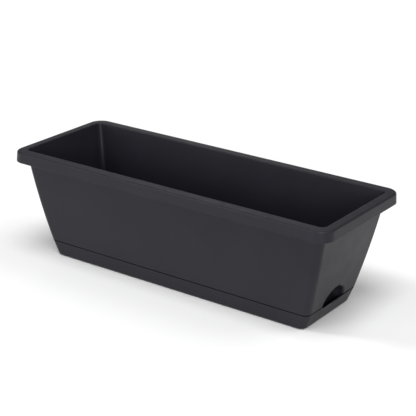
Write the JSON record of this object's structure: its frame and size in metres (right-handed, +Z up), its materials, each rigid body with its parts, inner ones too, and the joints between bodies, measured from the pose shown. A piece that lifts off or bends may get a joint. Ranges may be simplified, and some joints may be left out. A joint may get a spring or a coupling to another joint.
{
  "type": "self-watering trough planter",
  "caption": "Tapered rectangular flower trough with a turned-over rim, standing in a shallow water tray filled through an arched pocket in one end, with slotted wicking cups.",
  "frame": {"origin": "middle of the tray's underside, on the surface that the planter stands on", "axes": "+X along the trough towards the end with the filling pocket, +Y to the back, +Z up"},
  "size_m": [0.5, 0.191, 0.154],
  "materials": {
    "anthracite": "fine satin, moulded",
    "cup_black": "matt, moulded"
  },
  "bodies": {
    "tray": {"reservoir_tray": "anthracite"},
    "box": {"trough": "anthracite"},
    "cup_1": {"wicking_cup_1": "cup_black"},
    "cup_2": {"wicking_cup_2": "cup_black"},
    "cup_3": {"wicking_cup_3": "cup_black"},
    "cup_4": {"wicking_cup_4": "cup_black"},
    "cup_5": {"wicking_cup_5": "cup_black"},
    "cup_6": {"wicking_cup_6": "cup_black"}
  },
  "joints": [
    {"name": "box_lift", "type": "slide", "parent": "tray", "child": "box", "axis": [0, 0, 1], "range_m": [0, 0.04]},
    {"name": "cup_1_lift", "type": "slide", "parent": "box", "child": "cup_1", "axis": [0, 0, 1], "range_m": [0, 0.04]},
    {"name": "cup_2_lift", "type": "slide", "parent": "box", "child": "cup_2", "axis": [0, 0, 1], "range_m": [0, 0.04]},
    {"name": "cup_3_lift", "type": "slide", "parent": "box", "child": "cup_3", "axis": [0, 0, 1], "range_m": [0, 0.04]},
    {"name": "cup_4_lift", "type": "slide", "parent": "box", "child": "cup_4", "axis": [0, 0, 1], "range_m": [0, 0.04]},
    {"name": "cup_5_lift", "type": "slide", "parent": "box", "child": "cup_5", "axis": [0, 0, 1], "range_m": [0, 0.04]},
    {"name": "cup_6_lift", "type": "slide", "parent": "box", "child": "cup_6", "axis": [0, 0, 1], "range_m": [0, 0.04]}
  ]
}
